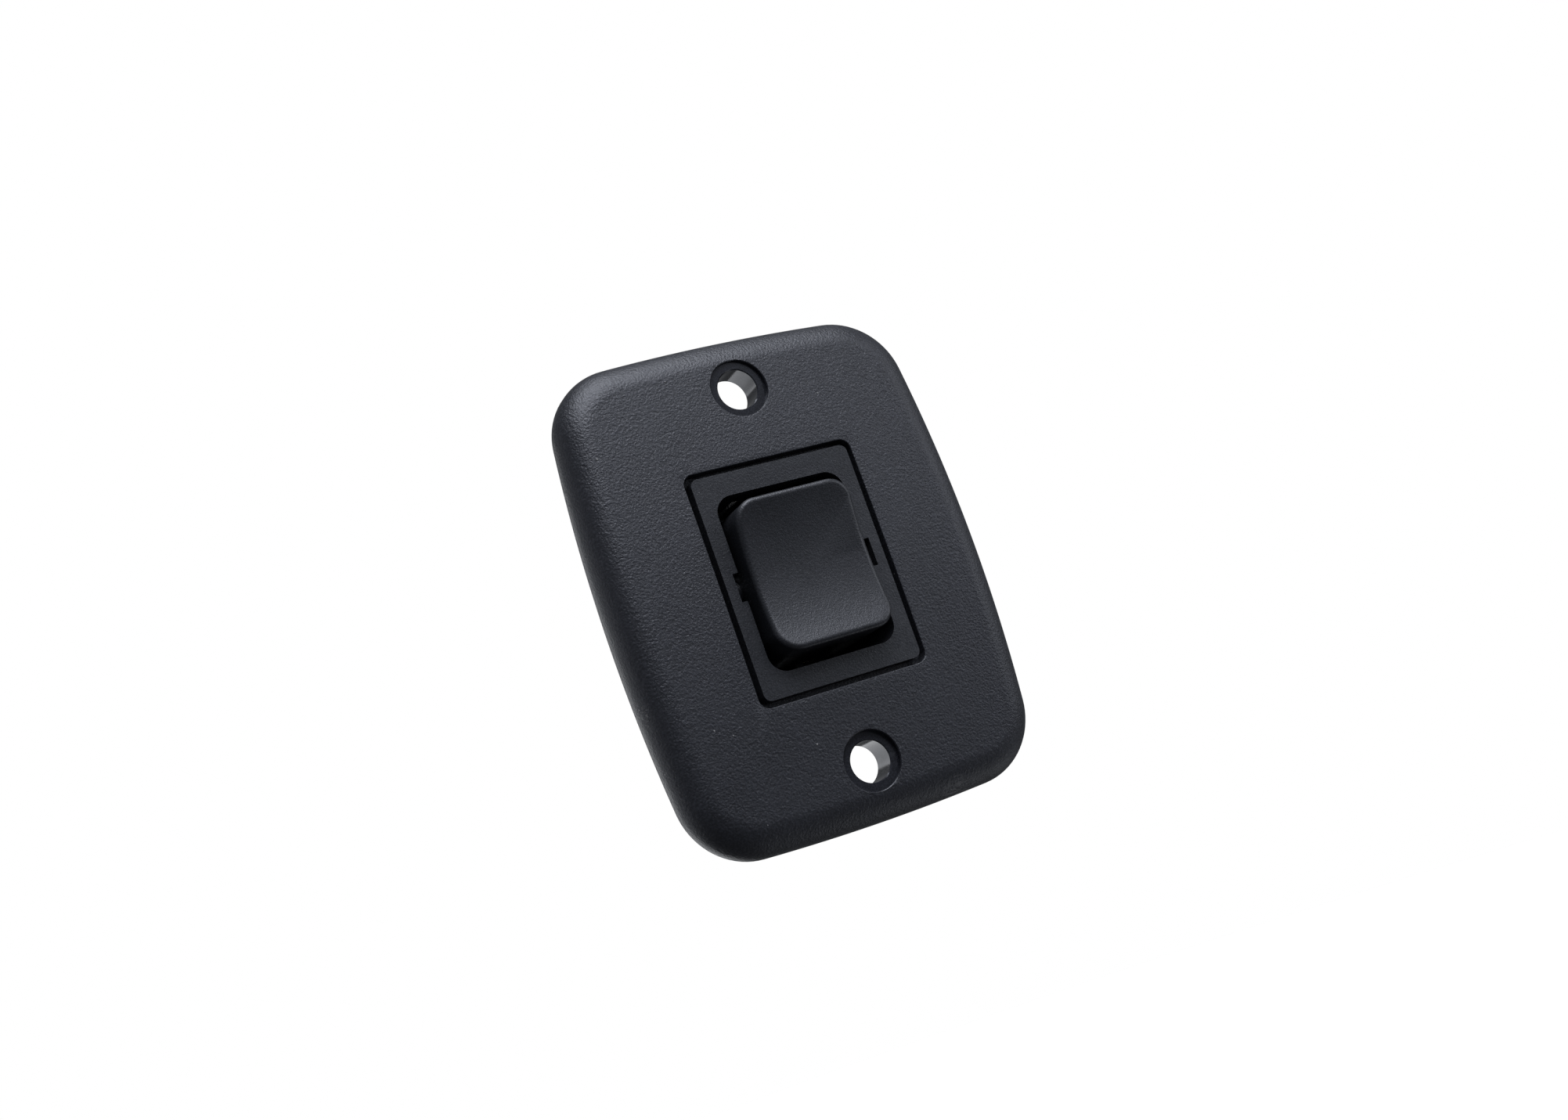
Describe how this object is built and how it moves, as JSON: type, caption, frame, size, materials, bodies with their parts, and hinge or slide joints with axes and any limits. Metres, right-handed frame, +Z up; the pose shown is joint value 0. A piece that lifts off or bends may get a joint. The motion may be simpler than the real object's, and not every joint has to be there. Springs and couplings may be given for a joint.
{
  "type": "rocker wall switch",
  "caption": "Small barrel-shaped wall plate with two screw holes and a centre-off rocker switch in its window, with spade terminals behind.",
  "frame": {"origin": "centre of the wall plane, midway between the two screw holes, on the plate's back rim", "axes": "+Y into the wall, +Z up the plate along the line of the screw holes, +X to the right as the plate is looked at"},
  "size_m": [0.0518, 0.034, 0.0648],
  "materials": {
    "black_plate": "black moulded plastic with a fine spark-eroded grain",
    "black_switch": "black moulded nylon, fine satin grain",
    "black_base": "plain black moulded nylon",
    "white_nylon": "natural nylon",
    "spring_steel": "drawn spring wire",
    "contact_brass": "stamped brass strip",
    "terminal_brass": "stamped brass strip, lightly tarnished",
    "contact_silver": "silver alloy rivet"
  },
  "bodies": {
    "mounting": {"face_plate": "black_plate", "switch_housing": "black_switch", "terminal_base": "black_base", "common_terminal_left": "terminal_brass", "fixed_contact_left_upper": "contact_silver", "throw_terminal_left_upper": "terminal_brass", "fixed_contact_left_lower": "contact_silver", "throw_terminal_left_lower": "terminal_brass", "common_terminal_right": "terminal_brass", "fixed_contact_right_upper": "contact_silver", "throw_terminal_right_upper": "terminal_brass", "fixed_contact_right_lower": "contact_silver", "throw_terminal_right_lower": "terminal_brass"},
    "rocker": {"rocker": "black_switch", "plunger_spring_left": "spring_steel", "plunger_spring_right": "spring_steel"},
    "plunger_left": {"plunger_left": "white_nylon"},
    "blade_left": {"contact_blade_left": "contact_brass", "moving_contact_left_upper": "contact_silver", "moving_contact_left_lower": "contact_silver"},
    "plunger_right": {"plunger_right": "white_nylon"},
    "blade_right": {"contact_blade_right": "contact_brass", "moving_contact_right_upper": "contact_silver", "moving_contact_right_lower": "contact_silver"}
  },
  "joints": [
    {"name": "rocker_tilt", "type": "hinge", "parent": "mounting", "child": "rocker", "pos_m": [0, -0.00125, 0], "axis": [1, 0, 0], "range_deg": [-10, 10]},
    {"name": "plunger_left_press", "type": "slide", "parent": "rocker", "child": "plunger_left", "axis": [0, -1, 0], "range_m": [0, 0.0008], "stiffness_N_per_m": 600, "springref_m": -0.002, "deforming": ["plunger_spring_left"]},
    {"name": "blade_left_rock", "type": "hinge", "parent": "mounting", "child": "blade_left", "pos_m": [-0.00475, 0.00865, 0], "axis": [1, 0, 0], "range_deg": [-8, 8]},
    {"name": "plunger_right_press", "type": "slide", "parent": "rocker", "child": "plunger_right", "axis": [0, -1, 0], "range_m": [0, 0.0008], "stiffness_N_per_m": 600, "springref_m": -0.002, "deforming": ["plunger_spring_right"]},
    {"name": "blade_right_rock", "type": "hinge", "parent": "mounting", "child": "blade_right", "pos_m": [0.00475, 0.00865, 0], "axis": [1, 0, 0], "range_deg": [-8, 8]}
  ],
  "couplings": [
    {"joint": "blade_left_rock", "follows": "rocker_tilt", "ratio": -0.8},
    {"joint": "blade_right_rock", "follows": "rocker_tilt", "ratio": -0.8}
  ]
}
